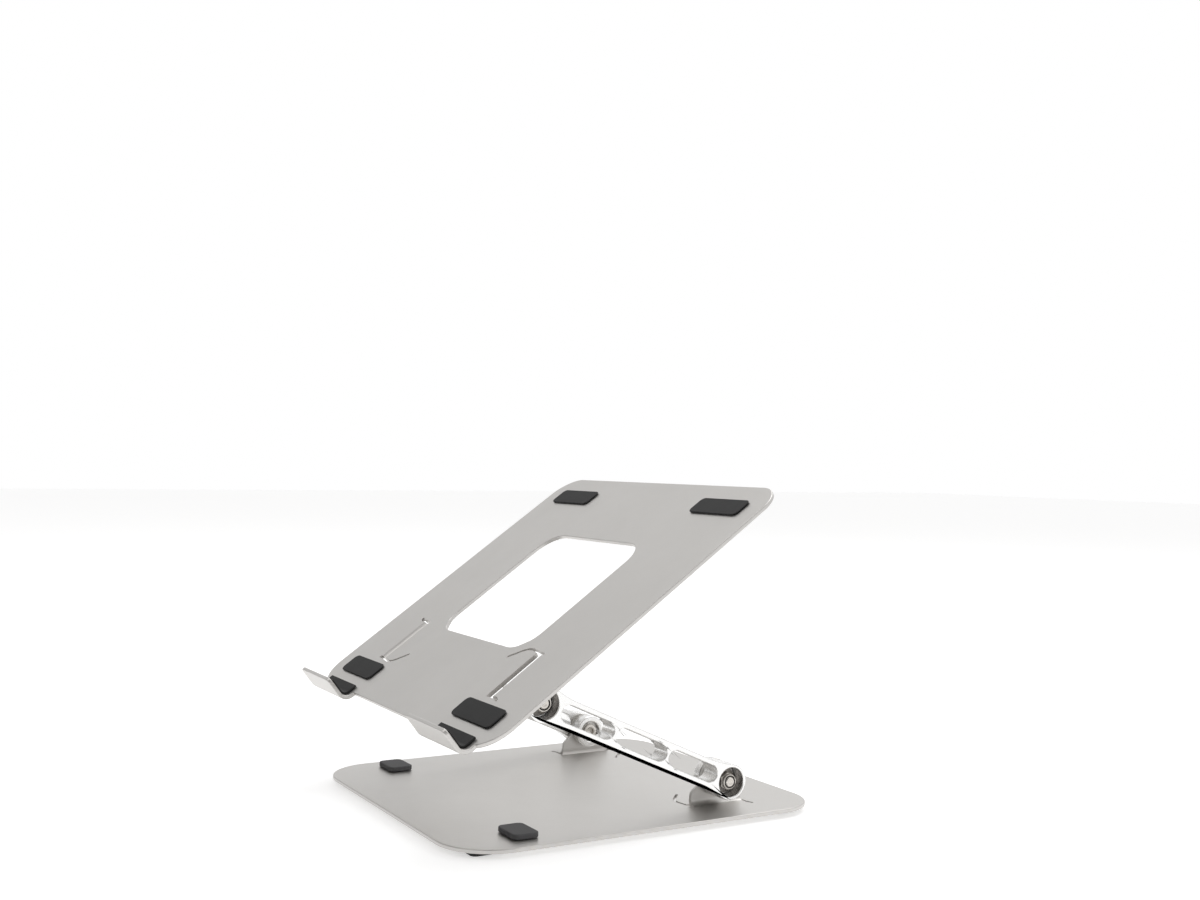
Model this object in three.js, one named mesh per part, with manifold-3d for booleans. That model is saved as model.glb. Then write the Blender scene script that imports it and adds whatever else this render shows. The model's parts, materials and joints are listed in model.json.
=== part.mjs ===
// A folding laptop stand: a bent-sheet base, two slotted arms and a bent-sheet platform
// with two front hooks. Millimetres. +X right, +Y to the rear, +Z up, z = 0 at the feet.
import * as THREE from 'three';
import { mergeVertices } from 'three/addons/utils/BufferGeometryUtils.js';
import Module from 'manifold-3d';

const wasm = await Module();
wasm.setup();

// ---- driving dimensions ----
const sheet = 2;                // thickness of both bent plates
const bendRadius = 3;           // inside radius of every ear bend
const gap = 0.3;                // clearance kept between touching pieces

const baseWidth = 184;
const baseDepth = 199;
const baseFrontRadius = 27;
const baseRearRadius = 24;
const footHeight = 2.5;
const footSize = [24, 14];      // along X and Y
const footInset = 10;           // from the base's edges

const pivotHeight = 12.8;       // from a plate's face to its hinge axis
const basePivotY = 51.2;        // lower hinge axis, from the middle of the base
const earInside = 64;           // inner faces of the ears, from the middle
const earFootLength = 29.5;
const earTopRadius = 8.8;
const earShoulder = 1.6;        // upright part of each flank above the bend
const reliefWidth = 1.5;        // cuts beside and around each bend
const tailReach = 20;           // inward run of the long relief cut
const tailSetback = 7;          // how far that cut ends from the ear's end, along Y
const curlReach = 5;            // outward run of the short relief cut

const armLength = 114;          // axis to axis
const armThickness = 11.5;
const armHeight = 13;
const armEndWall = 1.6;         // around each nut pocket
const armFlare = 60;            // radius of the hollow between beam and round end
const windowCount = 3;
const windowMargin = 9.6;       // from each axis to the nearest window
const windowWeb = 1.8;          // between two windows
const windowRail = 2.4;         // above and below the windows
const socketRoom = 3.2;         // for a socket spanner round the nut's flats
const nutSink = 1.1;            // nut's outer face below the arm's face
const armLift = 23.9;           // degrees above the base, as it stands in use
const platformTilt = 35.3;      // degrees above the base, as it stands in use

const boltRadius = 2.5;
const headRadius = 4.25;
const headHeight = 3;
const keyFlats = 4;             // hexagon socket across flats
const keyDepth = 1.8;
const headRoom = 1.55;          // between the bolt head and its cup's wall
const headSink = 0.1;           // bolt head's face below the cup's rim
const cupFloorThickness = 1.6;
const frictionThickness = 1;
const frictionInset = 0.6;      // smaller than the arm's round end, in radius
const springThickness = 0.7;
const springRise = 0.5;
const springPlay = 0.7;         // between the spring washer's rim and its pocket
const nutFlats = 8;
const nutCrownRadius = 3.8;
const nutHeight = 5;
const boltProud = 0.3;          // bolt end past the nut

const platformWidth = 210;
const platformFront = 42;       // plate's front edge ahead of the upper axis
const platformRear = 150;       // plate's rear edge behind the upper axis
const platformCornerRadius = 16;
const ventWidth = 96;
const ventLength = 84;
const ventRadius = 14;
const ventFrontY = 14;          // vent's front edge behind the upper axis
const hookInset = 11;           // from the plate's side to the hook
const hookWidth = 42;
const hookRadius = 4;           // inside radius of the hook's bend
const hookLip = 10.4;           // straight part of the lip
const hookLean = 2;             // degrees the lip leans forward past square
const hookProud = 7;            // front of the bend past the plate's front edge
const lipCornerRadius = 3;
const linerThickness = 1;
const linerInset = 3;
const padHeight = 1;
const padSize = [40, 12];
const padFrontInset = 10;       // from the plate's front edge to the front pads
const padRearInset = 12;
const padSideInset = 13;
const bumperSize = [19, 13];
const bumperHeight = 2.8;
const smallCorner = 3;          // corner radius of the rubber pads

// ---- values that follow ----
const plateBottom = footHeight;
const plateTop = plateBottom + sheet;
const lowerAxis = [basePivotY, plateTop + pivotHeight];
const lift = THREE.MathUtils.degToRad(armLift);
const tilt = THREE.MathUtils.degToRad(platformTilt);
const upperAxis = [
  lowerAxis[0] - armLength * Math.cos(lift),
  lowerAxis[1] + armLength * Math.sin(lift),
];
const earOutside = earInside + sheet;
const boreRadius = boltRadius + gap;
const washerInner = earOutside + gap;
const armInner = washerInner + frictionThickness + gap;
const armOuter = armInner + armThickness;
const nutOuter = armOuter - nutSink;
const nutInner = nutOuter - nutHeight;
const springInner = nutInner - gap - springRise - springThickness;
const pocketFloor = springInner - gap;
const boltEnd = nutOuter + boltProud;
const cupOuter = earInside - gap;
const cupFloor = cupOuter - cupFloorThickness;
const headOuter = cupFloor - gap;
const headInner = headOuter - headHeight;
const cupInner = headInner - headSink;
const cupPocketRadius = headRadius + headRoom;
const nutPocketRadius = nutFlats / 2 + socketRoom;
const armEndRadius = nutPocketRadius + armEndWall;
const frictionRadius = armEndRadius - frictionInset;
const springRadius = nutPocketRadius - springPlay;
const windowHeight = armHeight - 2 * windowRail;
const windowRun = armLength - 2 * windowMargin - (windowCount - 1) * windowWeb;
const windowLength = windowRun / windowCount;
const windowPitch = windowLength + windowWeb;
const hookReach = platformFront + hookProud;
const hookCentre = platformWidth / 2 - hookInset - hookWidth / 2;
const padX = platformWidth / 2 - padSideInset - padSize[0] / 2;
const padFrontY = -platformFront + padFrontInset + padSize[1] / 2;
const padRearY = platformRear - padRearInset - padSize[1] / 2;

// ---- solids ----
// Turns a three.js geometry into a solid, and back.
function solid(geometry) {
  const bare = geometry.clone();
  bare.deleteAttribute('normal');
  bare.deleteAttribute('uv');
  const merged = mergeVertices(bare, 1e-4);
  return new wasm.Manifold(new wasm.Mesh({
    numProp: 3,
    vertProperties: new Float32Array(merged.attributes.position.array),
    triVerts: new Uint32Array(merged.index.array),
  }));
}

function geometryOf(manifold) {
  const mesh = manifold.getMesh();
  const geometry = new THREE.BufferGeometry();
  geometry.setAttribute('position', new THREE.BufferAttribute(mesh.vertProperties, 3));
  geometry.setIndex(new THREE.BufferAttribute(mesh.triVerts, 1));
  geometry.computeVertexNormals();
  return geometry;
}

// A shape drawn in XY and raised from z = low to z = high.
function raised(shape, low, high, segments = 8) {
  const geometry = new THREE.ExtrudeGeometry(shape, {
    depth: high - low, bevelEnabled: false, curveSegments: segments,
  });
  return geometry.translate(0, 0, low);
}

// A shape drawn as (Y, Z) and run along X from one x to another.
const drawnInYZ = new THREE.Matrix4().set(0, 0, 1, 0, 1, 0, 0, 0, 0, 1, 0, 0, 0, 0, 0, 1);
function acrossX(shape, from, to, segments = 8) {
  return raised(shape, from, to, segments).applyMatrix4(drawnInYZ);
}

// A shape drawn as (X, Z) and run along Y.
const drawnInXZ = new THREE.Matrix4().set(1, 0, 0, 0, 0, 0, -1, 0, 0, 1, 0, 0, 0, 0, 0, 1);
function alongY(shape, from, to, segments = 8) {
  return raised(shape, -to, -from, segments).applyMatrix4(drawnInXZ);
}

// A turned piece about the X axis: profile points are (radius, x).
function turned(profile, sides = 24) {
  const points = profile.map(([radius, x]) => new THREE.Vector2(radius, x));
  return new THREE.LatheGeometry(points, sides).rotateZ(-Math.PI / 2);
}

function roundedRectangle(x0, y0, x1, y1, frontRadius, rearRadius = frontRadius) {
  const shape = new THREE.Shape();
  shape.moveTo(x0 + frontRadius, y0);
  shape.lineTo(x1 - frontRadius, y0);
  shape.absarc(x1 - frontRadius, y0 + frontRadius, frontRadius, -Math.PI / 2, 0);
  shape.lineTo(x1, y1 - rearRadius);
  shape.absarc(x1 - rearRadius, y1 - rearRadius, rearRadius, 0, Math.PI / 2);
  shape.lineTo(x0 + rearRadius, y1);
  shape.absarc(x0 + rearRadius, y1 - rearRadius, rearRadius, Math.PI / 2, Math.PI);
  shape.lineTo(x0, y0 + frontRadius);
  shape.absarc(x0 + frontRadius, y0 + frontRadius, frontRadius, Math.PI, 1.5 * Math.PI);
  return shape;
}

function centredPad([width, depth], radius) {
  return roundedRectangle(-width / 2, -depth / 2, width / 2, depth / 2, radius);
}

function hexagon(flats) {
  const shape = new THREE.Shape();
  const corner = flats / Math.sqrt(3);
  for (let k = 0; k < 6; k += 1) {
    const angle = Math.PI / 6 + k * Math.PI / 3;
    const point = [corner * Math.cos(angle), corner * Math.sin(angle)];
    if (k === 0) {
      shape.moveTo(...point);
    } else {
      shape.lineTo(...point);
    }
  }
  shape.closePath();
  return shape;
}

// A cut of even width with round ends that follows a list of points.
function reliefCut(points, width) {
  const line = new THREE.CatmullRomCurve3(points.map(([x, y]) => new THREE.Vector3(x, y, 0)));
  const steps = 6;
  const left = [];
  const right = [];
  for (let k = 0; k <= steps; k += 1) {
    const at = line.getPointAt(k / steps);
    const along = line.getTangentAt(k / steps);
    left.push([at.x - along.y * width / 2, at.y + along.x * width / 2]);
    right.unshift([at.x + along.y * width / 2, at.y - along.x * width / 2]);
  }
  const end = line.getPointAt(1);
  const heading = line.getTangentAt(1);
  const angle = Math.atan2(heading.y, heading.x);
  const shape = new THREE.Shape();
  shape.moveTo(...right[steps]);
  right.slice(0, steps).reverse().forEach((point) => shape.lineTo(...point));
  shape.absarc(end.x, end.y, width / 2, angle - Math.PI / 2, angle + Math.PI / 2);
  left.slice(0, steps).reverse().forEach((point) => shape.lineTo(...point));
  shape.closePath();
  return raised(shape, -2 * sheet, sheet, 3);
}

// ---- the two bent plates ----
// Both are drawn with the ears' side up: sheet from z = -sheet to 0, ears above it,
// the hinge axis at y = 0, z = pivotHeight. side is 1 on the right and -1 on the left.
const bendTop = bendRadius;
const bendCentre = earOutside + bendRadius;

function earOutline() {
  const shape = new THREE.Shape();
  const half = earFootLength / 2;
  const shoulder = bendTop + earShoulder;
  const rise = (pivotHeight - shoulder) / 2;
  shape.moveTo(-half, bendTop);
  shape.lineTo(half, bendTop);
  shape.lineTo(half, shoulder);
  shape.bezierCurveTo(half, shoulder + rise, earTopRadius, pivotHeight - rise, earTopRadius, pivotHeight);
  shape.absarc(0, pivotHeight, earTopRadius, 0, Math.PI);
  shape.bezierCurveTo(-earTopRadius, pivotHeight - rise, -half, shoulder + rise, -half, shoulder);
  shape.closePath();
  return shape;
}

function bendSection() {
  const shape = new THREE.Shape();
  const outer = bendRadius + sheet;
  shape.absarc(bendCentre, bendTop, outer, Math.PI, 1.5 * Math.PI);
  shape.lineTo(bendCentre + reliefWidth, bendTop - outer);
  shape.lineTo(bendCentre + reliefWidth, bendTop - bendRadius);
  shape.lineTo(bendCentre, bendTop - bendRadius);
  shape.absarc(bendCentre, bendTop, bendRadius, 1.5 * Math.PI, Math.PI, true);
  shape.closePath();
  return shape;
}

function mirroredIf(side, manifold) {
  return side > 0 ? manifold : manifold.mirror([1, 0, 0]);
}

// front is 1 where the long relief cut leaves the ear's front end, -1 at its rear end.
function withEar(plate, side, front) {
  const half = earFootLength / 2;
  const cutEnd = half + reliefWidth;
  const cutInside = earInside - reliefWidth;
  const trench = roundedRectangle(cutInside, -cutEnd, bendCentre + gap, cutEnd, 0.6);
  const end = -front * (cutEnd - reliefWidth / 2);
  const tail = reliefCut([
    [earInside + 1, end],
    [earInside - tailReach / 2, end - front * reliefWidth / 2],
    [earInside - tailReach, end + front * tailSetback],
  ], reliefWidth);
  const curl = reliefCut([
    [earInside + 2, -end],
    [bendCentre + curlReach * 0.4, -end],
    [bendCentre + curlReach, -end + front * 1.2],
  ], reliefWidth);
  const cuts = solid(raised(trench, -2 * sheet, sheet))
    .add(solid(tail))
    .add(solid(curl));
  const bore = solid(new THREE.CylinderGeometry(boreRadius, boreRadius, 4 * sheet, 24)
    .rotateZ(Math.PI / 2)
    .translate(earInside + sheet / 2, 0, pivotHeight));
  const ear = solid(acrossX(earOutline(), earInside, earOutside, 7))
    .add(solid(alongY(bendSection(), -half, half, 6)))
    .subtract(bore);
  return plate.subtract(mirroredIf(side, cuts)).add(mirroredIf(side, ear));
}

function basePlate() {
  const outline = roundedRectangle(
    -baseWidth / 2, -baseDepth / 2 - basePivotY, baseWidth / 2, baseDepth / 2 - basePivotY,
    baseFrontRadius, baseRearRadius,
  );
  let plate = solid(raised(outline, -sheet, 0, 10));
  plate = withEar(plate, 1, 1);
  plate = withEar(plate, -1, -1);
  return geometryOf(plate);
}

// The hook's section as (Y, Z), with the sheet's ears' side at z = 0 and the lip going
// away from the ears. A path of the sheet's centre line is widened to the sheet.
function hookSection(inset, thickness, from, to) {
  const radius = hookRadius + sheet;
  const sweep = THREE.MathUtils.degToRad(90 - hookLean);
  const centre = [-hookReach + radius, -radius];
  const outer = [];
  const inner = [];
  const steps = 8;
  const far = radius - inset;
  const near = far - thickness;
  outer.push([from, centre[1] + far]);
  inner.unshift([from, centre[1] + near]);
  for (let k = 0; k <= steps; k += 1) {
    const angle = Math.PI / 2 + sweep * k / steps;
    outer.push([centre[0] + far * Math.cos(angle), centre[1] + far * Math.sin(angle)]);
    inner.unshift([centre[0] + near * Math.cos(angle), centre[1] + near * Math.sin(angle)]);
  }
  const last = Math.PI / 2 + sweep;
  const run = [-Math.sin(last) * to, Math.cos(last) * to];
  outer.push([outer[steps + 1][0] + run[0], outer[steps + 1][1] + run[1]]);
  inner.unshift([inner[0][0] + run[0], inner[0][1] + run[1]]);
  const shape = new THREE.Shape();
  [...outer, ...inner].forEach(([y, z], index) => {
    if (index === 0) {
      shape.moveTo(y, z);
    } else {
      shape.lineTo(y, z);
    }
  });
  shape.closePath();
  return shape;
}

// Rounds the lip's two top corners by keeping only what lies under a rounded outline.
function lipTrim() {
  const low = -hookRadius - sheet - hookLip - 2;
  const reach = hookRadius + sheet + hookLip * Math.cos(THREE.MathUtils.degToRad(hookLean));
  const shape = roundedRectangle(
    hookCentre - hookWidth / 2, -reach - sheet * Math.sin(THREE.MathUtils.degToRad(hookLean)),
    hookCentre + hookWidth / 2, sheet, lipCornerRadius, 0.2,
  );
  return solid(alongY(shape, -hookReach + low, 0, 4));
}

function platformPlate() {
  const half = platformWidth / 2;
  const outline = roundedRectangle(-half, -platformFront, half, platformRear, platformCornerRadius);
  let plate = solid(raised(outline, -sheet, 0, 6));
  const vent = roundedRectangle(
    -ventWidth / 2, ventFrontY, ventWidth / 2, ventFrontY + ventLength, ventRadius,
  );
  plate = plate.subtract(solid(raised(vent, -2 * sheet, sheet, 6)));
  const section = hookSection(0, sheet, -platformFront + hookRadius, hookLip);
  const from = hookCentre - hookWidth / 2;
  const hook = solid(acrossX(section, from, from + hookWidth)).intersect(lipTrim());
  plate = plate.add(hook).add(hook.mirror([1, 0, 0]));
  plate = withEar(plate, 1, 1);
  plate = withEar(plate, -1, -1);
  return geometryOf(plate);
}

// The liner lies on the inside of the hook, from the plate's face to near the lip's top.
function hookLiner() {
  const section = hookSection(
    sheet + gap, linerThickness, -platformFront + hookRadius, hookLip - linerInset,
  );
  return acrossX(section, -hookWidth / 2 + linerInset, hookWidth / 2 - linerInset);
}

// ---- arms ----
// Drawn with the lower axis at the origin and the beam along -Y.
function flare(shape, y, z, from, to) {
  for (let k = 1; k <= 4; k += 1) {
    const angle = from + (to - from) * k / 4;
    shape.lineTo(y + armFlare * Math.cos(angle), z + armFlare * Math.sin(angle));
  }
}

function armOutline() {
  const half = armHeight / 2;
  const drop = half + armFlare;
  const reach = Math.sqrt((armEndRadius + armFlare) ** 2 - drop ** 2);
  const turn = Math.atan2(drop, reach);
  const shape = new THREE.Shape();
  shape.absarc(0, 0, armEndRadius, -Math.PI + turn, Math.PI - turn);
  flare(shape, -reach, drop, -turn, -Math.PI / 2);
  flare(shape, -armLength + reach, drop, -Math.PI / 2, -Math.PI + turn);
  shape.absarc(-armLength, 0, armEndRadius, turn, 2 * Math.PI - turn);
  flare(shape, -armLength + reach, -drop, Math.PI - turn, Math.PI / 2);
  flare(shape, -reach, -drop, Math.PI / 2, turn);
  return shape;
}

function windowHole(middle) {
  const hole = new THREE.Path();
  const radius = windowHeight / 2;
  const straight = windowLength / 2 - radius;
  hole.absarc(middle + straight, 0, radius, -Math.PI / 2, Math.PI / 2);
  hole.absarc(middle - straight, 0, radius, Math.PI / 2, 1.5 * Math.PI);
  hole.closePath();
  return hole;
}

function armSolid() {
  const shape = armOutline();
  for (let k = 0; k < windowCount; k += 1) {
    const middle = -armLength / 2 + (k - (windowCount - 1) / 2) * windowPitch;
    shape.holes.push(windowHole(middle));
  }
  let arm = solid(acrossX(shape, armInner, armOuter, 8));
  for (const y of [0, -armLength]) {
    const bore = turned([
      [0, armInner - 1], [boreRadius, armInner - 1], [boreRadius, pocketFloor],
      [nutPocketRadius, pocketFloor], [nutPocketRadius, armOuter + 1], [0, armOuter + 1],
    ]);
    arm = arm.subtract(solid(bore).translate([0, y, 0]));
  }
  return arm;
}

// ---- hinge pieces, drawn on the X axis for the right-hand side ----
function hingeBolt() {
  const bolt = turned([
    [0, headInner], [headRadius - 0.5, headInner], [headRadius, headInner + 0.5],
    [headRadius, headOuter], [boltRadius, headOuter], [boltRadius, boltEnd - 0.5],
    [boltRadius - 0.5, boltEnd], [0, boltEnd],
  ], 18);
  const key = acrossX(hexagon(keyFlats), headInner - 1, headInner + keyDepth);
  return solid(bolt).subtract(solid(key));
}

function hingeCup() {
  return solid(turned([
    [boreRadius, cupFloor], [cupPocketRadius, cupFloor], [cupPocketRadius, cupInner],
    [earTopRadius - 0.6, cupInner], [earTopRadius, cupInner + 0.6], [earTopRadius, cupOuter],
    [boreRadius, cupOuter], [boreRadius, cupFloor],
  ]));
}

function frictionWasher() {
  const outer = washerInner + frictionThickness;
  return solid(turned([
    [boreRadius, washerInner], [frictionRadius, washerInner], [frictionRadius, outer],
    [boreRadius, outer], [boreRadius, washerInner],
  ]));
}

function springWasher() {
  const rim = springInner;
  const eye = springInner + springRise;
  return solid(turned([
    [boreRadius, eye], [springRadius, rim], [springRadius, rim + springThickness],
    [boreRadius, eye + springThickness], [boreRadius, eye],
  ]));
}

function lockNut() {
  const shoulder = nutOuter - 1.4;
  const body = solid(acrossX(hexagon(nutFlats), nutInner, shoulder))
    .intersect(solid(turned([
      [0, nutInner], [nutFlats / 2 + 0.2, nutInner], [nutFlats / 2 + 0.8, nutInner + 0.5],
      [nutFlats / 2 + 0.8, shoulder - 0.4], [nutFlats / 2, shoulder], [0, shoulder],
    ])));
  const crown = solid(turned([
    [0, shoulder - 1], [nutCrownRadius, shoulder - 1], [nutCrownRadius, nutOuter - 0.5],
    [nutCrownRadius - 0.5, nutOuter], [0, nutOuter],
  ]));
  const bore = solid(turned([
    [0, nutInner - 1], [boreRadius, nutInner - 1], [boreRadius, nutOuter + 1], [0, nutOuter + 1],
  ]));
  return body.add(crown).subtract(bore);
}

// ---- materials ----
function finish(color, roughness, metalness) {
  return new THREE.MeshStandardMaterial({ color, roughness, metalness });
}
const anodised = finish(0xd2cfcb, 0.45, 0.85);
const brightAlloy = finish(0xe8e6e3, 0.28, 0.9);
const steel = finish(0xb9b2a8, 0.3, 1);
const darkSteel = finish(0x77716a, 0.35, 1);
const greyRubber = finish(0x5e5e60, 0.9, 0);
const blackRubber = finish(0x161616, 0.85, 0);
const nylon = finish(0xd8d4cc, 0.6, 0);

const stand = new THREE.Group();

function place(parent, name, geometry, material, position = [0, 0, 0]) {
  const mesh = new THREE.Mesh(geometry, material);
  mesh.name = name;
  mesh.position.set(...position);
  parent.add(mesh);
  return mesh;
}

const sides = [['left', -1], ['right', 1]];

// ---- base ----
const base = new THREE.Group();
base.position.set(0, lowerAxis[0], plateTop);
stand.add(base);
place(base, 'base_plate', basePlate(), anodised);

for (const [end, endY] of [['front', -1], ['rear', 1]]) {
  for (const [side, sideX] of sides) {
    const x = sideX * (baseWidth / 2 - footInset - footSize[0] / 2);
    const y = endY * (baseDepth / 2 - footInset - footSize[1] / 2);
    const foot = raised(centredPad(footSize, smallCorner), 0, footHeight - gap, 4);
    place(stand, `base_foot_${end}_${side}`, foot, blackRubber, [x, y, 0]);
  }
}

// The arms' upper ends come down on these when the stand is folded.
const armMiddle = (armInner + armOuter) / 2;
for (const [side, sideX] of sides) {
  const bumper = raised(centredPad(bumperSize, smallCorner), gap, bumperHeight, 4);
  const at = [sideX * armMiddle, lowerAxis[0] - armLength, plateTop];
  place(stand, `arm_bumper_${side}`, bumper, greyRubber, at);
}

// ---- arms ----
const arms = new THREE.Group();
arms.position.set(0, ...lowerAxis);
arms.rotation.x = -lift;
stand.add(arms);
for (const [side, sideX] of sides) {
  place(arms, `arm_${side}`, geometryOf(mirroredIf(sideX, armSolid())), brightAlloy);
}

// ---- platform: its ears point down, so it is the ears'-up drawing turned over ----
const platform = new THREE.Group();
platform.position.set(0, ...upperAxis);
platform.rotation.x = tilt;
stand.add(platform);
const underside = new THREE.Group();
underside.position.z = pivotHeight;
underside.rotation.y = Math.PI;
platform.add(underside);
place(underside, 'platform_plate', platformPlate(), anodised);
for (const [side, sideX] of sides) {
  place(underside, `hook_liner_${side}`, hookLiner(), blackRubber, [-sideX * hookCentre, 0, 0]);
}
for (const [end, y] of [['front', padFrontY], ['rear', padRearY]]) {
  for (const [side, sideX] of sides) {
    const pad = raised(centredPad(padSize, smallCorner), gap, padHeight, 4);
    const at = [sideX * padX, y, pivotHeight + sheet];
    place(platform, `platform_pad_${end}_${side}`, pad, blackRubber, at);
  }
}

// ---- hinges: one set of pieces on each end of each arm ----
const hingePieces = [
  ['hinge_bolt', hingeBolt, steel],
  ['hinge_cup', hingeCup, brightAlloy],
  ['friction_washer', frictionWasher, nylon],
  ['spring_washer', springWasher, darkSteel],
  ['lock_nut', lockNut, steel],
];
for (const [level, axis, turn] of [['lower', lowerAxis, 0], ['upper', upperAxis, tilt]]) {
  const hinge = new THREE.Group();
  hinge.position.set(0, ...axis);
  hinge.rotation.x = turn;
  stand.add(hinge);
  for (const [side, sideX] of sides) {
    for (const [name, make, material] of hingePieces) {
      place(hinge, `${name}_${level}_${side}`, geometryOf(mirroredIf(sideX, make())), material);
    }
  }
}

// The whole stand is centred on the origin, front to rear.
const extent = new THREE.Box3().setFromObject(stand, true);
stand.position.y = -(extent.min.y + extent.max.y) / 2;

export default stand;
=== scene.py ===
import json
import math
import bmesh
import bpy
from mathutils import Matrix, Vector


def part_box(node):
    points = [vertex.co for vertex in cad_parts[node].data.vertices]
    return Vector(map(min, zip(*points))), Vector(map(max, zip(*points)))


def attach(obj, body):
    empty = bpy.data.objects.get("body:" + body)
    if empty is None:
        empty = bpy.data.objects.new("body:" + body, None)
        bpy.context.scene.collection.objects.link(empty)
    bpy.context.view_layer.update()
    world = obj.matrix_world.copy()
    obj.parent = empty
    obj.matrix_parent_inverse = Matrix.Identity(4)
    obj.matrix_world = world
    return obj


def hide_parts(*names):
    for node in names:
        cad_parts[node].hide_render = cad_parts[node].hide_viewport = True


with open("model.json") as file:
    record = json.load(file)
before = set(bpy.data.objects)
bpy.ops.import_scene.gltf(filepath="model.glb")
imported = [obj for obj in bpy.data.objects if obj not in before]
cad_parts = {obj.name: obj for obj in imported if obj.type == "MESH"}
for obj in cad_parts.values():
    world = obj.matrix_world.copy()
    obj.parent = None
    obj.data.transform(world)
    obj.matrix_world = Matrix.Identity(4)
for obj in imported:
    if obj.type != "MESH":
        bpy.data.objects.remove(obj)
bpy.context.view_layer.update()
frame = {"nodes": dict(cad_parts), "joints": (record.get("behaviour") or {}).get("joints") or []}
joints = {joint["name"]: joint for joint in frame["joints"]}
mm = 0.001

# The two hinge lines and the turned places of the arms and the platform, as the stand is set up.
lowerAxis = Vector(joints["arm_swing"]["pos_m"])
upperAxis = Vector(joints["platform_tilt"]["pos_m"])
restTilt = math.radians(-joints["platform_tilt"]["range_deg"][0])
restLift = math.atan2(upperAxis.z - lowerAxis.z, lowerAxis.y - upperAxis.y)
platformPlace = Matrix.Translation(upperAxis) @ Matrix.Rotation(restTilt, 4, "X")
hingeLines = {
    "lower": {"axis": lowerAxis, "body": "base"},
    "upper": {"axis": upperAxis, "body": "upper_pins"},
}
sides = {"left": -1, "right": 1}
print("frame loaded,", len(frame["nodes"]), "nodes")


# The camera.
viewPoint = {
    "position": (0.6187, -0.3389, 0.1739),
    "azimuth": 59.54,
    "pitch": -0.45,
    "roll": 1.01,
    "lens": 40.65,
}


def addCamera():
    data = bpy.data.cameras.new("studioCamera")
    data.lens = viewPoint["lens"]
    data.clip_start = 0.01
    camera = bpy.data.objects.new("studioCamera", data)
    bpy.context.scene.collection.objects.link(camera)
    yaw, pitch, roll = (math.radians(viewPoint[key]) for key in ("azimuth", "pitch", "roll"))
    ahead = Vector((-math.sin(yaw) * math.cos(pitch), math.cos(yaw) * math.cos(pitch), -math.sin(pitch)))
    level = ahead.cross(Vector((0, 0, 1))).normalized()
    above = level.cross(ahead)
    right = level * math.cos(roll) + above * math.sin(roll)
    up = above * math.cos(roll) - level * math.sin(roll)
    turn = Matrix((right, up, -ahead)).transposed().to_4x4()
    camera.matrix_world = Matrix.Translation(viewPoint["position"]) @ turn
    bpy.context.scene.camera = camera


addCamera()
print("camera placed")


# The finishes.
class Wire:  # a shader socket that can stand in a sum
    def __init__(self, finish, socket):
        self.finish = finish
        self.socket = socket

    def worked(self, operation, first, second=None):
        inputs = {0: first} if second is None else {0: first, 1: second}
        return self.finish.node("ShaderNodeMath", {"operation": operation}, inputs)

    def __add__(self, other):
        return self.worked("ADD", self, other)

    def __radd__(self, other):
        return self.worked("ADD", other, self)

    def __sub__(self, other):
        return self.worked("SUBTRACT", self, other)

    def __rsub__(self, other):
        return self.worked("SUBTRACT", other, self)

    def __mul__(self, other):
        return self.worked("MULTIPLY", self, other)

    def __rmul__(self, other):
        return self.worked("MULTIPLY", other, self)

    def __pow__(self, other):
        return self.worked("POWER", self, other)

    def sine(self):
        return self.worked("SINE", self)

    def clamped(self):
        return self.finish.node("ShaderNodeClamp", {}, {0: self})


class NodeDesk:  # adds nodes to one shader tree
    def __init__(self, tree):
        self.tree = tree

    def feed(self, socket, value):
        if isinstance(value, Wire):
            self.tree.links.new(value.socket, socket)
        else:
            socket.default_value = value

    def node(self, kind, settings, inputs, output=0):
        made = self.tree.nodes.new(kind)
        for key, value in settings.items():
            setattr(made, key, value)
        for key, value in inputs.items():
            self.feed(made.inputs[key], value)
        return Wire(self, made.outputs[output])


class Finish(NodeDesk):
    def __init__(self, name, fixed):
        self.material = bpy.data.materials.new(name)
        self.material.use_nodes = True
        super().__init__(self.material.node_tree)
        self.shader = self.tree.nodes["Principled BSDF"]
        for socket, value in fixed.items():
            self.shader.inputs[socket].default_value = value
        self.material.diffuse_color = fixed["Base Color"]

    def drive(self, socket, value):
        self.feed(self.shader.inputs[socket], value)

    # Object coordinates, seen from a centre, turned about X and stretched.
    def coordinates(self, centre=(0, 0, 0), turn=0.0, stretch=(1, 1, 1)):
        plain = self.node("ShaderNodeTexCoord", {}, {}, "Object")
        moved = self.node("ShaderNodeVectorMath", {"operation": "SUBTRACT"}, {0: plain, 1: centre})
        turned = {"Vector": moved, "Rotation": (turn, 0, 0), "Scale": stretch}
        return self.node("ShaderNodeMapping", {}, turned)

    def noise(self, where, scale, detail=2.0, roughness=0.5):
        values = {"Vector": where, "Scale": scale, "Detail": detail, "Roughness": roughness}
        return self.node("ShaderNodeTexNoise", {}, values, "Fac")

    def blend(self, amount, low, high):
        return self.node("ShaderNodeMix", {"data_type": "RGBA"}, {0: amount, 6: low, 7: high}, 2)

    def bump(self, height, depth, strength=1.0):
        values = {"Height": height, "Distance": depth, "Strength": strength}
        self.drive("Normal", self.node("ShaderNodeBump", {}, values))


sheetLook = {
    "light": (0.66, 0.645, 0.625, 1),
    "dark": (0.575, 0.56, 0.54, 1),
    "roughness": 0.4,
    "grain": 3200,          # bead-blast grain, per metre
    "cloud": 16,            # slow change of tone over the sheet
    "grainDepth": 0.012 * mm,
}


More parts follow.
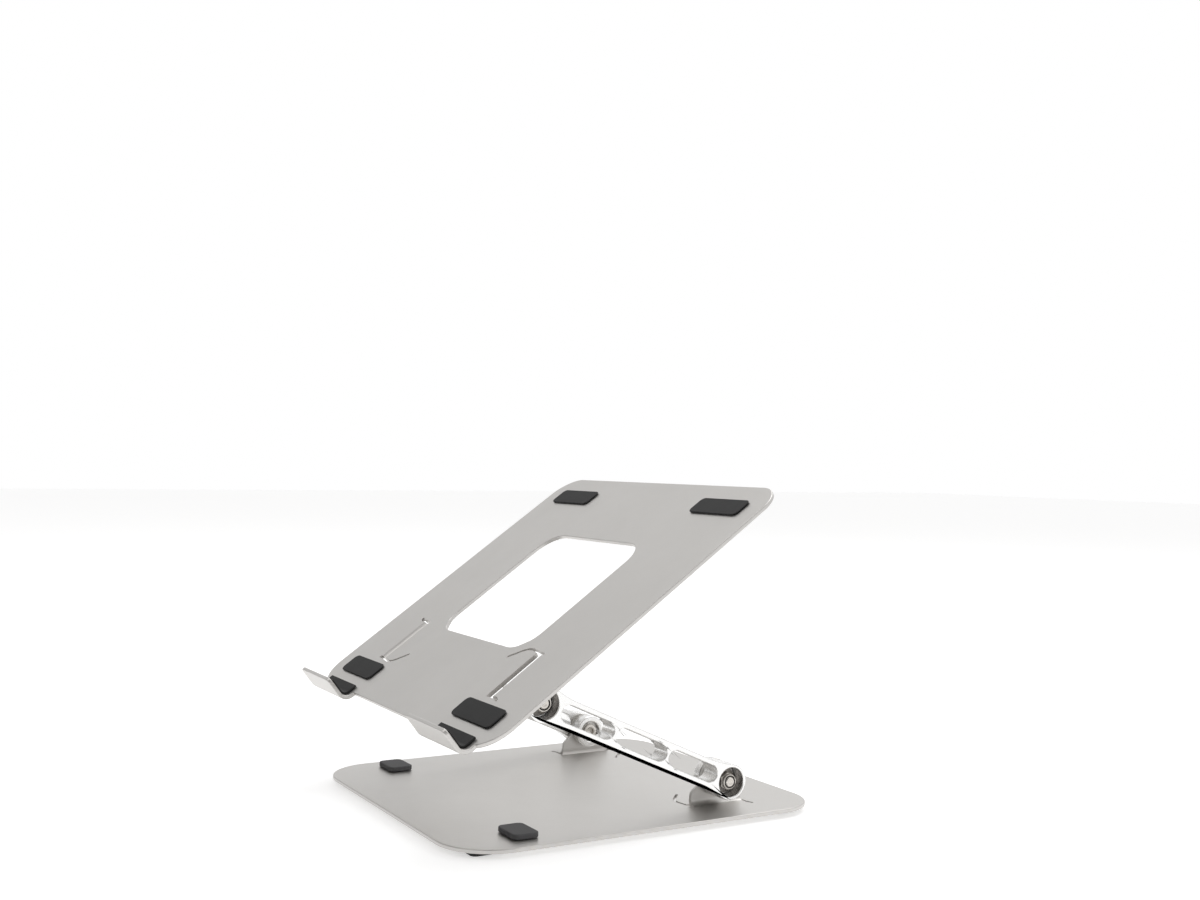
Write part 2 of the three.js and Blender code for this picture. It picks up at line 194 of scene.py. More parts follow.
def sheetFinish():
    finish = Finish("satinAnodisedSheet", {"Metallic": 0.92, "Base Color": sheetLook["light"]})
    where = finish.coordinates()
    grain = finish.noise(where, sheetLook["grain"], 3, 0.6)
    cloud = finish.noise(where, sheetLook["cloud"], 3)
    handling = finish.noise(where, sheetLook["cloud"] * 7, 5, 0.65)
    tone = (cloud * 0.75 + grain * 0.25).clamped()
    finish.drive("Base Color", finish.blend(tone, sheetLook["dark"], sheetLook["light"]))
    finish.drive("Roughness", sheetLook["roughness"] + (grain - 0.5) * 0.16 + (handling - 0.5) * 0.1)
    finish.bump(grain, sheetLook["grainDepth"], 0.5)
    return finish.material


armLook = {
    "light": (0.93, 0.925, 0.915, 1),
    "dark": (0.84, 0.835, 0.825, 1),
    "roughness": 0.27,
    "lines": 2400,          # machining lines across the arm, per metre
    "run": 0.02,            # how much longer a line is than it is wide, turned over
    "lineDepth": 0.006 * mm,
    "cloud": 45,            # slow change of tone, per metre
}


def armFinish(name, centre, turn):
    finish = Finish(name, {"Metallic": 0.95, "Base Color": armLook["light"]})
    where = finish.coordinates(centre, turn, (1, armLook["run"], 1))
    lines = finish.noise(where, armLook["lines"], 2, 0.6)
    cloud = finish.noise(finish.coordinates(), armLook["cloud"], 3)
    finish.drive("Base Color", finish.blend(cloud, armLook["dark"], armLook["light"]))
    finish.drive("Roughness", armLook["roughness"] + (lines - 0.5) * 0.18 + (cloud - 0.5) * 0.08)
    finish.bump(lines, armLook["lineDepth"], 0.6)
    return finish.material


turnedLook = {
    "rings": 5200,          # lathe lines out from the axis, per metre, in radians
    "ringDepth": 0.008 * mm,
    "wander": 700,          # how the rings waver, per metre
    "stains": 420,
}


def turnedFinish(name, axis, light, dark, roughness):
    finish = Finish(name, {"Metallic": 1.0, "Base Color": light})
    where = finish.coordinates(tuple(axis))
    split = finish.tree.nodes.new("ShaderNodeSeparateXYZ")
    finish.feed(split.inputs[0], where)
    across, up = Wire(finish, split.outputs[1]), Wire(finish, split.outputs[2])
    radius = (across * across + up * up) ** 0.5
    wander = finish.noise(where, turnedLook["wander"], 3)
    rings = (radius * turnedLook["rings"] + wander * 2).sine() * 0.5 + 0.5
    stains = finish.noise(where, turnedLook["stains"], 4, 0.6)
    finish.drive("Base Color", finish.blend(stains, dark, light))
    finish.drive("Roughness", roughness + rings * 0.08 + (stains - 0.5) * 0.16)
    finish.bump(rings, turnedLook["ringDepth"], 0.5)
    return finish.material


mouldedGrain = {"stipple": 2600, "dust": 160}     # per metre


def mouldedFinish(name, light, dark, roughness, grainDepth):
    finish = Finish(name, {"Metallic": 0.0, "Base Color": light, "Specular IOR Level": 0.35})
    where = finish.coordinates()
    stipple = finish.noise(where, mouldedGrain["stipple"], 2, 0.55)
    dust = finish.noise(where, mouldedGrain["dust"], 5, 0.7)
    finish.drive("Base Color", finish.blend((dust * 0.7 + stipple * 0.3).clamped(), dark, light))
    finish.drive("Roughness", roughness + (stipple - 0.5) * 0.14 + (dust - 0.5) * 0.12)
    finish.bump(stipple, grainDepth, 0.7)
    return finish.material


steelLook = {"light": (0.74, 0.71, 0.67, 1), "dark": (0.5, 0.47, 0.43, 1), "roughness": 0.24}
springLook = {"light": (0.3, 0.28, 0.26, 1), "dark": (0.18, 0.17, 0.16, 1), "roughness": 0.3}
sheetMetal = sheetFinish()
armMetal = armFinish("machinedArm", tuple(lowerAxis), restLift)
cupMetal = {
    level: armFinish(f"machinedCup_{level}", tuple(line["axis"]), 0.0)
    for level, line in hingeLines.items()
}
steel = {
    level: turnedFinish(f"turnedSteel_{level}", line["axis"], **steelLook)
    for level, line in hingeLines.items()
}
springSteel = {
    level: turnedFinish(f"springSteel_{level}", line["axis"], **springLook)
    for level, line in hingeLines.items()
}
mouldedLooks = {
    "paleNylon": ((0.78, 0.76, 0.71, 1), (0.66, 0.64, 0.6, 1), 0.5, 0.01 * mm),
    "blackNylon": ((0.02, 0.02, 0.02, 1), (0.01, 0.01, 0.01, 1), 0.42, 0.01 * mm),
    "greyRubber": ((0.115, 0.115, 0.118, 1), (0.085, 0.085, 0.088, 1), 0.72, 0.03 * mm),
    "blackRubber": ((0.022, 0.022, 0.022, 1), (0.012, 0.012, 0.012, 1), 0.66, 0.03 * mm),
}
washerNylon, ringNylon, greyRubber, blackRubber = (
    mouldedFinish(name, *look) for name, look in mouldedLooks.items()
)
print("finishes made")


# Helpers for pieces.
def newPiece(name, mesh, material):
    mesh.materials.clear()
    mesh.materials.append(material)
    piece = bpy.data.objects.new(name, mesh)
    bpy.context.scene.collection.objects.link(piece)
    return piece


def fit(piece, body, slotName, *nodes):
    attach(piece, body)
    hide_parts(*nodes)


# Rounds the edges sharper than the limit, apart from those whose two ends lie in a kept zone.
def softenEdges(piece, width, limit=32, keptSharp=None):
    shape = bmesh.new()
    shape.from_mesh(piece.data)
    weights = shape.edges.layers.float.new("bevel_weight_edge")
    for edge in shape.edges:
        if len(edge.link_faces) == 2 and edge.calc_face_angle() > math.radians(limit):
            kept = keptSharp and all(keptSharp(vertex.co) for vertex in edge.verts)
            edge[weights] = 0.0 if kept else 1.0
    shape.to_mesh(piece.data)
    shape.free()
    bevel = piece.modifiers.new("softEdges", "BEVEL")
    bevel.width = width
    bevel.segments = 3
    bevel.limit_method = "WEIGHT"
    bevel.use_clamp_overlap = False
    piece.data.shade_smooth()
    piece.data.set_sharp_from_angle(angle=math.radians(limit))
    flats = piece.modifiers.new("flatFlats", "WEIGHTED_NORMAL")
    flats.weight = 100
    flats.keep_sharp = True


# Splits the straight chords of a coarse arc and moves the new points out to the true circle.
def refineArc(shape, centre, axis, radius, cuts):
    def away(spot):
        offset = spot - centre
        return offset - axis * offset.dot(axis)

    chords = []
    for edge in shape.edges:
        first, second = (vertex.co for vertex in edge.verts)
        onCircle = all(abs(away(spot).length - radius) < 0.02 * mm for spot in (first, second))
        across = abs((second - first).normalized().dot(axis)) < 0.1
        if onCircle and across and away((first + second) / 2).length > radius * 0.88:
            chords.append(edge)
    made = bmesh.ops.subdivide_edges(shape, edges=chords, cuts=cuts)
    for point in made["geom_inner"]:
        if isinstance(point, bmesh.types.BMVert):
            offset = away(point.co)
            point.co += offset * (radius / offset.length - 1)


# Joins the faces that lie in one plane, along the seams whose faces all pass the test.
def joinFlats(shape, test):
    seams = [seam for seam in shape.edges if all(test(face) for face in seam.link_faces)]
    bmesh.ops.dissolve_limit(shape, angle_limit=math.radians(0.6), verts=[], edges=seams)


# A clean copy of a node's shape with finer arcs. Its walls are joined before the arcs are split, and
# its two broad faces, square to sheetNormal, after that.
def cleanCopy(node, name, material, arcs, sheetNormal):
    mesh = frame["nodes"][node].data.copy()
    mesh.name = name
    shape = bmesh.new()
    shape.from_mesh(mesh)
    bmesh.ops.remove_doubles(shape, verts=shape.verts, dist=0.002 * mm)
    joinFlats(shape, lambda face: abs(face.normal.dot(sheetNormal)) < 0.99)
    for centre, axis, radius, cuts in arcs:
        refineArc(shape, Vector(centre), Vector(axis), radius, cuts)
    joinFlats(shape, lambda face: abs(face.normal.dot(sheetNormal)) > 0.999)
    shape.to_mesh(mesh)
    shape.free()
    return newPiece(name, mesh, material)


# A node's lowest and highest corner as seen from a turned place.
def boxFrom(place, node):
    back = place.inverted()
    corners = [back @ vertex.co for vertex in frame["nodes"][node].data.vertices]
    low = Vector([min(corner[axis] for corner in corners) for axis in range(3)])
    high = Vector([max(corner[axis] for corner in corners) for axis in range(3)])
    return low, high


# Bent plates, arms and liners.
plateShape = {
    "edge": 0.4 * mm, "earRadius": 8.8 * mm, "earInside": 64 * mm, "sheet": 2 * mm, "earBend": 3 * mm,
    "pivotHeight": 12.8 * mm, "baseFrontRadius": 27 * mm, "baseRearRadius": 24 * mm,
    "platformFront": 42 * mm, "platformRear": 150 * mm, "platformRadius": 16 * mm,
    "ventWidth": 96 * mm, "ventFront": 14 * mm, "ventLength": 84 * mm, "ventRadius": 14 * mm,
    "hookFront": 49 * mm, "hookBend": 4 * mm,
    "cutZoneX": (42 * mm, 77 * mm), "cutZoneY": 21 * mm,   # where the relief cuts run, by each ear
}


# Says whether a spot lies among the relief cuts: those are punched and stay crisp.
def amongCuts(place, up):
    shape = plateShape
    back = place.inverted()
    bendTop = shape["pivotHeight"] - shape["earBend"] - 0.5 * mm

    def test(spot):
        local = back @ spot
        inX = shape["cutZoneX"][0] < abs(local.x) < shape["cutZoneX"][1]
        return inX and abs(local.y) < shape["cutZoneY"] and -up * local.z > bendTop

    return test


# The arcs of one plate: ear tops and ear bends, seen from the plate's own place at its hinge line.
# up is 1 where the ears stand up from the sheet and -1 where they hang from it.
def earArcs(place, up):
    shape = plateShape
    turn = place.to_3x3()
    arcs = [(place.translation, turn @ Vector((1, 0, 0)), shape["earRadius"], 3)]
    bendX = shape["earInside"] + shape["sheet"] + shape["earBend"]
    bendZ = up * (shape["earBend"] - shape["pivotHeight"])
    for side in sides.values():
        for radius in (shape["earBend"], shape["earBend"] + shape["sheet"]):
            arcs.append((place @ Vector((side * bendX, 0, bendZ)), turn @ Vector((0, 1, 0)), radius, 2))
    return arcs


def cornerArcs(place, halfWidth, nearY, farY, nearRadius, farRadius, cuts):
    arcs = []
    upright = place.to_3x3() @ Vector((0, 0, 1))
    for side in sides.values():
        near = Vector((side * (halfWidth - nearRadius), nearY + nearRadius, 0))
        far = Vector((side * (halfWidth - farRadius), farY - farRadius, 0))
        arcs += [(place @ near, upright, nearRadius, cuts), (place @ far, upright, farRadius, cuts)]
    return arcs


def bentBase():
    shape = plateShape
    low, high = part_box("base_plate")
    arcs = earArcs(Matrix.Translation(lowerAxis), 1)
    arcs += cornerArcs(Matrix.Identity(4), high.x, low.y, high.y, shape["baseFrontRadius"],
                       shape["baseRearRadius"], 2)
    plate = cleanCopy("base_plate", "bentBase", sheetMetal, arcs, Vector((0, 0, 1)))
    softenEdges(plate, shape["edge"], keptSharp=amongCuts(Matrix.Translation(lowerAxis), 1))
    fit(plate, "base", "plate_alloy", "base_plate")


def bentPlatform():
    shape = plateShape
    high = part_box("platform_plate")[1]
    arcs = earArcs(platformPlace, -1)
    arcs += cornerArcs(platformPlace, high.x, -shape["platformFront"], shape["platformRear"],
                       shape["platformRadius"], shape["platformRadius"], 3)
    arcs += cornerArcs(platformPlace, shape["ventWidth"] / 2, shape["ventFront"],
                       shape["ventFront"] + shape["ventLength"], shape["ventRadius"], shape["ventRadius"], 3)
    arcs += hookArcs((shape["hookBend"], shape["hookBend"] + shape["sheet"]))
    sheetNormal = platformPlace.to_3x3() @ Vector((0, 0, 1))
    plate = cleanCopy("platform_plate", "bentPlatform", sheetMetal, arcs, sheetNormal)
    softenEdges(plate, shape["edge"], keptSharp=amongCuts(platformPlace, -1))
    fit(plate, "platform", "plate_alloy", "platform_plate")


def hookArcs(radii):
    shape = plateShape
    outer = shape["hookBend"] + shape["sheet"]
    centre = platformPlace @ Vector((0, outer - shape["hookFront"], shape["pivotHeight"] + outer))
    return [(centre, (1, 0, 0), radius, 2) for radius in radii]


bentBase()
bentPlatform()

armShape = {
    "edge": 0.45 * mm, "endRadius": 8.8 * mm, "pocketRadius": 7.2 * mm,
    "windowRadius": 4.1 * mm, "windowLength": 30.4 * mm, "windowPitch": 32.2 * mm, "windows": 3,
}


def armArcs():
    shape = armShape
    arcs = []
    for axis in (lowerAxis, upperAxis):
        arcs += [(axis, (1, 0, 0), shape["endRadius"], 6), (axis, (1, 0, 0), shape["pocketRadius"], 2)]
    middle = (lowerAxis + upperAxis) / 2
    along = (upperAxis - lowerAxis).normalized()
    for window in range(shape["windows"]):
        centre = middle + along * (window - (shape["windows"] - 1) / 2) * shape["windowPitch"]
        for end in (-1, 1):
            roundEnd = centre + along * end * (shape["windowLength"] / 2 - shape["windowRadius"])
            arcs.append((roundEnd, (1, 0, 0), shape["windowRadius"], 3))
    return arcs


for side in sides:
    arm = cleanCopy(f"arm_{side}", f"slottedArm_{side}", armMetal, armArcs(), Vector((1, 0, 0)))
    softenEdges(arm, armShape["edge"])
    fit(arm, "arms", "arm_alloy", f"arm_{side}")

linerShape = {"edge": 0.25 * mm, "thickness": 1 * mm, "gap": 0.3 * mm}
for side in sides:
    linerFar = plateShape["hookBend"] - linerShape["gap"]
    liner = cleanCopy(f"hook_liner_{side}", f"hookLining_{side}", blackRubber,
                      hookArcs((linerFar, linerFar - linerShape["thickness"])), Vector((1, 0, 0)))
    softenEdges(liner, linerShape["edge"])
    fit(liner, "platform", "black_rubber", f"hook_liner_{side}")
print("plates, arms and liners made")


# Rubber pads: one pad, set out on a grid by Geometry Nodes.
class Bench:  # builds a Geometry Nodes tree and turns it into a mesh
    def __init__(self, name):
        self.tree = bpy.data.node_groups.new(name, "GeometryNodeTree")
        self.tree.interface.new_socket("Geometry", in_out="OUTPUT", socket_type="NodeSocketGeometry")
        self.source = self.tree.nodes.new("NodeGroupInput")
        self.sink = self.tree.nodes.new("NodeGroupOutput")
        self.sizes = {}

    def size(self, name, value):
        socket = self.tree.interface.new_socket(name, in_out="INPUT", socket_type="NodeSocketFloat")
        self.sizes[socket.identifier] = value
        return self.source.outputs[name]

    def node(self, kind, settings, inputs, output=0):
        made = self.tree.nodes.new(kind)
        for key, value in settings.items():
            setattr(made, key, value)
        for key, value in inputs.items():
            if isinstance(value, bpy.types.NodeSocket):
                self.tree.links.new(value, made.inputs[key])
            else:
                made.inputs[key].default_value = value
        return made.outputs[output]

    def joined(self, *parts):
        join = self.tree.nodes.new("GeometryNodeJoinGeometry")
        for part in parts:
            self.tree.links.new(part, join.inputs[0])
        return join.outputs[0]

    def finished(self, name, geometry, material):
        whole = self.node("GeometryNodeRealizeInstances", {}, {0: geometry})
        painted = self.node("GeometryNodeSetMaterial", {}, {0: whole, "Material": material})
        self.tree.links.new(painted, self.sink.inputs[0])
        holder = bpy.data.objects.new(name, bpy.data.meshes.new(name))
        bpy.context.scene.collection.objects.link(holder)
        modifier = holder.modifiers.new("made", "NODES")
        modifier.node_group = self.tree
        for identifier, value in self.sizes.items():
            modifier[identifier] = value
        ready = holder.evaluated_get(bpy.context.evaluated_depsgraph_get())
        mesh = bpy.data.meshes.new_from_object(ready)
        holder.modifiers.remove(modifier)
        bpy.data.objects.remove(holder)
        mesh.name = name
        return newPiece(name, mesh, material)


def padSet(name, material, width, depth, height, corner, columns, rows, stepX, stepY):
    bench = Bench(name)
    block = bench.node("GeometryNodeCurvePrimitiveQuadrilateral", {"mode": "RECTANGLE"}, {
        "Width": bench.size("Width", width), "Height": bench.size("Depth", depth),
    })
    outline = bench.node("GeometryNodeFilletCurve", {"mode": "POLY"}, {
        "Curve": block, "Radius": bench.size("Corner", corner), "Count": 8,
    })
    face = bench.node("GeometryNodeFillCurve", {"mode": "NGONS"}, {"Curve": outline})
    tall = bench.size("Height", height)
    rise = bench.node("ShaderNodeCombineXYZ", {}, {"Z": tall})
    body = bench.node("GeometryNodeExtrudeMesh", {"mode": "FACES"}, {
        "Mesh": face, "Offset": rise, "Individual": False,
    })
    under = bench.node("GeometryNodeFlipFaces", {}, {0: face})
    whole = bench.joined(body, under)
    pad = bench.node("GeometryNodeMergeByDistance", {}, {0: whole, "Distance": 0.001 * mm})
    grid = bench.node("GeometryNodeMeshGrid", {}, {
        "Size X": bench.size("Across", stepX), "Size Y": bench.size("Along", stepY),
        "Vertices X": columns, "Vertices Y": rows,
    })
    pads = bench.node("GeometryNodeInstanceOnPoints", {}, {"Points": grid, "Instance": pad})
    return bench.finished(name, pads, material)


padShape = {"corner": 3 * mm, "edge": 0.55 * mm, "footEdge": 0.4 * mm, "edgeAngle": 50}


# Reads the sizes of a set of like pads from their nodes, makes them and lays them in place.
def layPads(name, material, slotName, body, place, nodes, corner, edge):
    boxes = [boxFrom(place, node) for node in nodes]
    low, high = boxes[0]
    centres = [(a + b) / 2 for a, b in boxes]
    firstCorner = Vector([min(centre[axis] for centre in centres) for axis in range(3)])
    lastCorner = Vector([max(centre[axis] for centre in centres) for axis in range(3)])
    size = high - low
    span = lastCorner - firstCorner
    rows = 2 if span.y > size.y else 1
    piece = padSet(name, material, size.x, size.y, size.z, corner, 2, rows, span.x, span.y)
    middle = (firstCorner + lastCorner) / 2
    middle.z = low.z
    piece.data.transform(place @ Matrix.Translation(middle))
    softenEdges(piece, edge, padShape["edgeAngle"])
    fit(piece, body, slotName, *nodes)


ends = ("front", "rear")
ground = Matrix.Identity(4)
corner, footEdge = padShape["corner"], padShape["footEdge"]
feet = [f"base_foot_{end}_{side}" for end in ends for side in sides]
bumpers = [f"arm_bumper_{side}" for side in sides]
rests = [f"platform_pad_{end}_{side}" for end in ends for side in sides]
layPads("deskFeet", blackRubber, "black_rubber", "base", ground, feet, corner, footEdge)
layPads("armBumpers", greyRubber, "grey_rubber", "base", ground, bumpers, corner, padShape["edge"])
layPads("platformPads", blackRubber, "black_rubber", "platform", platformPlace, rests, corner, footEdge)
print("pads made")


# Turned and hexagonal hinge pieces.
# A ring of a profile is (x, radius) or (x, radius, flats): with flats it is a hexagon kept inside
# the radius. x is measured outward from the middle of the stand.
def ringRadius(ring, angle):
    radius = ring[1]
    if len(ring) == 3:
        turn = math.radians(60)
        inFlat = (angle + turn / 2) % turn - turn / 2
        radius = min(radius, ring[2] / 2 / math.cos(inFlat))
    return radius


def spun(name, rings, material, axis, side, looped=False, steps=72):
    shape = bmesh.new()
    loops = []
    for ring in rings:
        if ring[1] == 0:
            loops.append([shape.verts.new((side * ring[0], axis.y, axis.z))])
            continue
        loop = []
        for step in range(steps):
            angle = math.tau * step / steps
            radius = ringRadius(ring, angle)
            spot = (side * ring[0], axis.y + radius * math.cos(angle), axis.z + radius * math.sin(angle))
            loop.append(shape.verts.new(spot))
        loops.append(loop)
    pairs = list(zip(loops, loops[1:]))
    if looped:
        pairs.append((loops[-1], loops[0]))
    for first, second in pairs:
        for step in range(steps):
            after = (step + 1) % steps
            if len(first) == 1:
                shape.faces.new((first[0], second[step], second[after]))
            elif len(second) == 1:
                shape.faces.new((first[step], second[0], first[after]))
            else:
                shape.faces.new((first[step], second[step], second[after], first[after]))
    bmesh.ops.recalc_face_normals(shape, faces=shape.faces)
    mesh = bpy.data.meshes.new(name)
    shape.to_mesh(mesh)
    shape.free()
    mesh.shade_smooth()
    mesh.set_sharp_from_angle(angle=math.radians(28))
    return newPiece(name, mesh, material)


# The reach of a hinge piece out from the middle of the stand, and its radius.
def reach(node):
    low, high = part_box(node)
    return min(abs(low.x), abs(high.x)), max(abs(low.x), abs(high.x)), (high.y - low.y) / 2


bolt = {
    "headHeight": 3 * mm, "headRound": 0.55 * mm, "socketFlats": 4 * mm, "socketDepth": 1.8 * mm,
    "socketMouth": 2.5 * mm, "shank": 2.45 * mm, "endChamfer": 0.4 * mm,
    "threadPitch": 0.8 * mm, "threadHeight": 0.08 * mm, "threadLength": 5.6 * mm,
    "drillPoint": 0.5 * mm, "socketFloor": 2.1 * mm, "socketLead": 0.3 * mm, "backChamfer": 0.2 * mm,
    "endRim": 1.2 * mm, "endHollow": 0.9 * mm, "endSink": 0.12 * mm,
}


def arcSteps(count):
    return [math.pi / 2 * step / count for step in range(count + 1)]


def boltPiece(level, side, axis):
    inner, outer, radius = reach(f"hinge_bolt_{level}_{side}")
    floor = inner + bolt["socketDepth"]
    rounding = bolt["headRound"]
    flats, mouth, sink = bolt["socketFlats"], bolt["socketMouth"], bolt["endSink"]
    rings = [(floor + bolt["drillPoint"], 0), (floor, bolt["socketFloor"], flats)]
    rings += [(inner + bolt["socketLead"], mouth, flats), (inner, mouth)]
    for angle in arcSteps(4):
        rings.append((inner + rounding * (1 - math.cos(angle)), radius - rounding * (1 - math.sin(angle))))
    back = inner + bolt["headHeight"]
    chamfer = bolt["backChamfer"]
    rings += [(back - chamfer, radius), (back, radius - chamfer), (back, bolt["shank"])]
    rings += [(outer - bolt["endChamfer"], bolt["shank"]), (outer, bolt["shank"] - bolt["endChamfer"])]
    rings += [(outer, bolt["endRim"]), (outer - sink, bolt["endHollow"]), (outer - sink, 0)]
    return spun(f"hingeScrew_{level}_{side}", rings, steel[level], axis, sides[side])


# The thread is a fine ridge that winds along the screw's outer end.
def threadPiece(level, side, axis):
    outer = reach(f"hinge_bolt_{level}_{side}")[1]
    name = f"screwThread_{level}_{side}"
    bench = Bench(name)
    turns = bolt["threadLength"] / bolt["threadPitch"]
    coilRadius = bolt["shank"] - bolt["threadHeight"] * 0.4
    path = bench.node("GeometryNodeCurveSpiral", {}, {
        "Resolution": 36, "Rotations": bench.size("Turns", turns),
        "Start Radius": bench.size("Radius", coilRadius), "End Radius": coilRadius,
        "Height": bench.size("Length", bolt["threadLength"]),
    })
    ridge = bench.node("GeometryNodeCurvePrimitiveCircle", {"mode": "RADIUS"}, {
        "Resolution": 4, "Radius": bench.size("Ridge", bolt["threadHeight"]),
    })
    sweep = {"Curve": path, "Profile Curve": ridge, "Fill Caps": True}
    piece = bench.finished(name, bench.node("GeometryNodeCurveToMesh", {}, sweep), steel[level])
    start = Vector((outer - bolt["endChamfer"] - bolt["threadLength"] - bolt["threadHeight"], 0, 0))
    alongX = Matrix.Rotation(math.pi / 2, 4, "Y")
    place = Matrix.Translation(Vector((0, axis.y, axis.z)))
    if side == "left":
        place = Matrix.Rotation(math.pi, 4, "Z") @ Matrix.Translation(Vector((0, -axis.y, axis.z)))
    piece.data.transform(place @ Matrix.Translation(start) @ alongX)
    piece.data.shade_smooth()
    return piece


nut = {
    "flats": 8 * mm, "corner": 4.62 * mm, "faceRadius": 3.95 * mm, "bore": 2.62 * mm, "crown": 3.78 * mm,
    "crownHeight": 1.5 * mm, "lip": 3.1 * mm, "seat": 2.95 * mm, "chamfer": 0.5 * mm,
    "ringInner": 2.47 * mm, "ringSink": 0.35 * mm, "ringHeight": 1.3 * mm,
    "ringLift": 0.05 * mm, "ringEdge": 0.12 * mm, "ringPlay": 0.02 * mm,
    "crownStep": 0.1 * mm, "crownRound": 0.5 * mm, "lipSink": 0.12 * mm,
}


def nutPiece(level, side, axis):
    inner, outer = reach(f"lock_nut_{level}_{side}")[:2]
    flats, corner, face = nut["flats"], nut["corner"], nut["faceRadius"]
    shoulder = outer - nut["crownHeight"]
    rings = [(inner, nut["bore"]), (inner, face)]
    chamfer, rounding, crown = nut["chamfer"], nut["crownRound"], nut["crown"]
    halfway = (face + corner) / 2
    rings += [(inner + chamfer / 2, halfway, flats), (inner + chamfer, corner, flats)]
    rings += [(shoulder - chamfer, corner, flats), (shoulder - chamfer / 2, halfway, flats)]
    rings += [(shoulder, face), (shoulder + nut["crownStep"], crown)]
    for angle in arcSteps(4):
        spot = outer - rounding * (1 - math.sin(angle))
        rings.append((spot, crown - rounding * (1 - math.cos(angle))))
    seat = outer - nut["ringSink"] - nut["ringHeight"]
    rings += [(outer - nut["lipSink"], nut["lip"]), (seat, nut["seat"]), (seat, nut["bore"])]
    return spun(f"lockNut_{level}_{side}", rings, steel[level], axis, sides[side], looped=True)


def nylonRing(level, side, axis):
    outer = reach(f"lock_nut_{level}_{side}")[1]
    top = outer - nut["ringSink"]
    foot = top - nut["ringHeight"] + nut["ringLift"]
    edge = nut["ringEdge"]
    wide, narrow = nut["seat"] - nut["ringPlay"], nut["ringInner"]
    rings = [(foot, narrow), (foot, wide), (top - edge, wide), (top, wide - edge)]
    rings += [(top, narrow + edge), (top - edge, narrow)]
    return spun(f"nylonRing_{level}_{side}", rings, ringNylon, axis, sides[side], looped=True)


cup = {
    "bore": 2.7 * mm, "pocket": 5.8 * mm, "pocketDepth": 3.4 * mm, "edge": 0.5 * mm,
    "backChamfer": 0.2 * mm,
}


def cupPiece(level, side, axis):
    inner, outer, radius = reach(f"hinge_cup_{level}_{side}")
    floor = inner + cup["pocketDepth"]
    edge, pocket = cup["edge"], cup["pocket"]
    rings = [(floor, cup["bore"]), (floor, pocket - edge), (floor - edge * 0.4, pocket - edge * 0.1)]
    rings += [(inner + edge * 0.6, pocket), (inner, pocket + edge * 0.6)]
    for angle in arcSteps(5):
        turned = math.pi / 2 - angle
        spot = inner + 2 * edge * (1 - math.sin(turned))
        rings.append((spot, radius - 2 * edge * (1 - math.cos(turned))))
    chamfer = cup["backChamfer"]
    rings += [(outer - chamfer, radius), (outer, radius - chamfer), (outer, cup["bore"])]
    return spun(f"hingeCup_{level}_{side}", rings, cupMetal[level], axis, sides[side], looped=True)


washer = {"bore": 2.7 * mm, "edge": 0.15 * mm, "springThickness": 0.7 * mm}


def frictionPiece(level, side, axis):
    inner, outer, radius = reach(f"friction_washer_{level}_{side}")
    edge, bore = washer["edge"], washer["bore"]
    rings = [(inner + edge, bore), (inner, bore + edge), (inner, radius - edge), (inner + edge, radius)]
    rings += [(outer - edge, radius), (outer, radius - edge), (outer, bore + edge), (outer - edge, bore)]
    return spun(f"frictionWasher_{level}_{side}", rings, washerNylon, axis, sides[side], looped=True)


def springPiece(level, side, axis):
    inner, outer, radius = reach(f"spring_washer_{level}_{side}")
    edge, bore = washer["edge"], washer["bore"]
    thickness = washer["springThickness"]
    rise = outer - inner - thickness
    rings = [(inner + rise, bore)]
    for step in range(1, 5):
        share = step / 4
        rings.append((inner + rise * (1 - share * share), bore + (radius - edge - bore) * share))
    rings += [(inner + edge, radius), (inner + thickness - edge, radius)]
    for step in range(4, 0, -1):
        share = step / 4
        rings.append((inner + thickness + rise * (1 - share * share), bore + (radius - edge - bore) * share))
    rings += [(outer, bore)]
    return spun(f"springWasher_{level}_{side}", rings, springSteel[level], axis, sides[side], looped=True)


# What is made for each hinge: the maker, its slot and the node it stands for.
hingePieces = (
    (boltPiece, "steel", "hinge_bolt"), (threadPiece, "steel", "hinge_bolt"), (nutPiece, "steel", "lock_nut"),
    (nylonRing, "nylon", "lock_nut"), (springPiece, "spring_steel", "spring_washer"),
    (cupPiece, "arm_alloy", "hinge_cup"), (frictionPiece, "nylon", "friction_washer"),
)
for level, line in hingeLines.items():
    for side in sides:
        for maker, slotName, node in hingePieces:
            fit(maker(level, side, line["axis"]), line["body"], slotName, f"{node}_{level}_{side}")
print("hinges made")


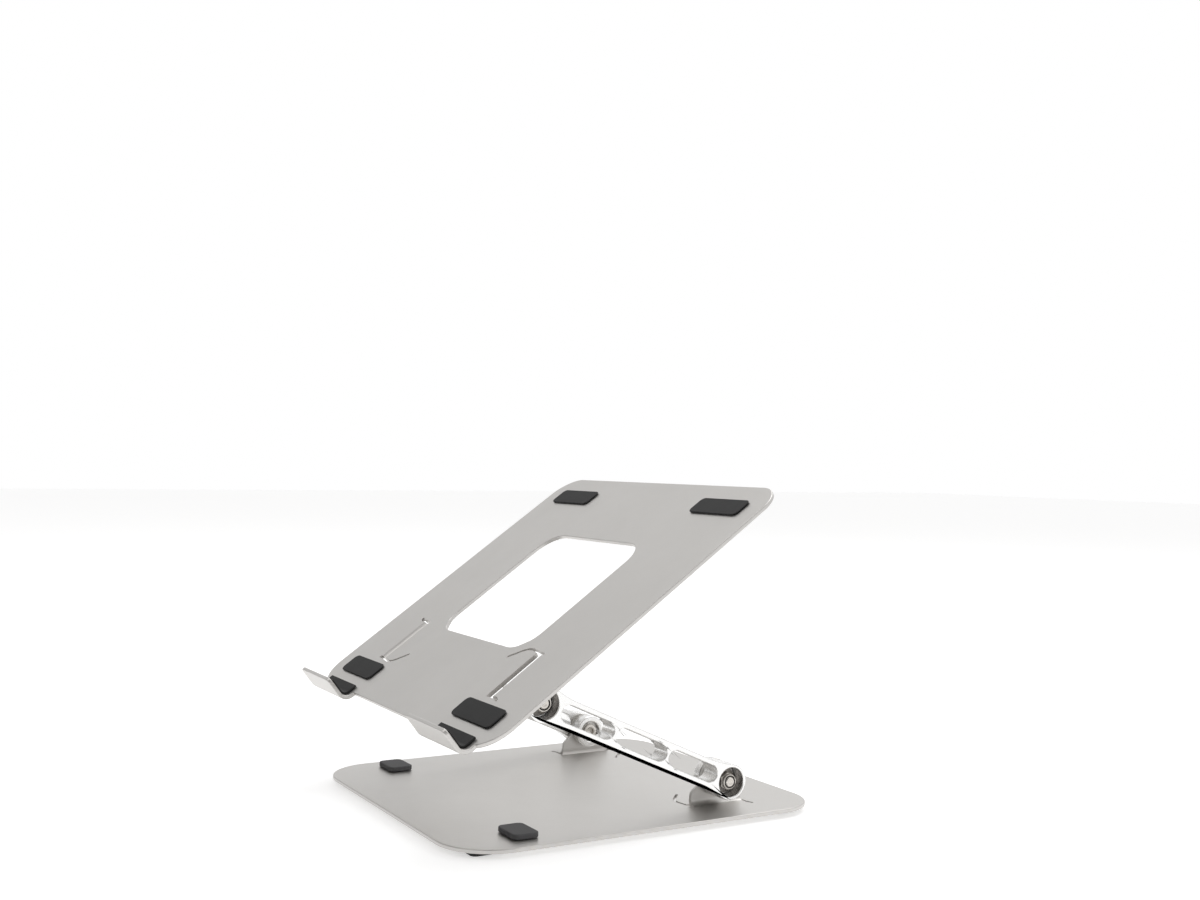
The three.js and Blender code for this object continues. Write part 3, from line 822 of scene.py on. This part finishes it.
# The studio.
studio = {
    "floorSize": 12.0,
    "floorColour": (0.8, 0.8, 0.8, 1),
    "floorGlow": 0.46,
    "bright": (1.0, 1.0, 1.0, 1),
    "dim": (0.3, 0.295, 0.29, 1),
    "dimSide": (0.25, -0.95, 0.1),      # the unlit side of the room
    "dimFrom": -0.25,
    "dimTo": 0.55,
    "roomStrength": 0.88,
    "lamps": {
        "topSoftbox": {"place": (-0.3, 0.7, 1.6), "aim": (0, 0, 0.05), "size": 1.4, "power": 10},
        "frontSoftbox": {"place": (0.2, -0.9, 1.5), "aim": (0, 0, 0.05), "size": 1.2, "power": 5},
    },
}


def addRoom():
    world = bpy.data.worlds.new("studio")
    world.use_nodes = True
    desk = NodeDesk(world.node_tree)
    where = desk.node("ShaderNodeTexCoord", {}, {}, "Generated")
    side = Vector(studio["dimSide"]).normalized()
    facing = desk.node("ShaderNodeVectorMath", {"operation": "DOT_PRODUCT"}, {0: where, 1: side}, "Value")
    shade = desk.node("ShaderNodeMapRange", {"interpolation_type": "SMOOTHSTEP"}, {
        "Value": facing, "From Min": studio["dimFrom"], "From Max": studio["dimTo"],
        "To Min": 0.0, "To Max": 1.0,
    })
    seen = desk.node("ShaderNodeLightPath", {}, {}, "Is Camera Ray")
    room = desk.node("ShaderNodeMix", {"data_type": "RGBA"}, {
        0: shade * (1 - seen), 6: studio["bright"], 7: studio["dim"],
    }, 2)
    background = world.node_tree.nodes["Background"]
    desk.feed(background.inputs["Color"], room)
    desk.feed(background.inputs["Strength"], studio["roomStrength"] + seen * (1 - studio["roomStrength"]))
    bpy.context.scene.world = world


def addStudio():
    mesh = bpy.data.meshes.new("floor")
    half = studio["floorSize"] / 2
    corners = [(-half, -half, 0), (half, -half, 0), (half, half, 0), (-half, half, 0)]
    mesh.from_pydata(corners, [], [(0, 1, 2, 3)])
    floor = newPiece("floor", mesh, Finish("paleFloor", {
        "Base Color": studio["floorColour"], "Roughness": 0.9,
        "Emission Color": studio["bright"], "Emission Strength": studio["floorGlow"],
    }).material)
    addRoom()
    for name, lamp in studio["lamps"].items():
        data = bpy.data.lights.new(name, "AREA")
        data.size = lamp["size"]
        data.energy = lamp["power"]
        light = bpy.data.objects.new(name, data)
        bpy.context.scene.collection.objects.link(light)
        place = Vector(lamp["place"])
        light.location = place
        light.rotation_euler = (Vector(lamp["aim"]) - place).to_track_quat("-Z", "Y").to_euler()
    bpy.context.scene.view_settings.view_transform = "Standard"


addStudio()
print("studio set")
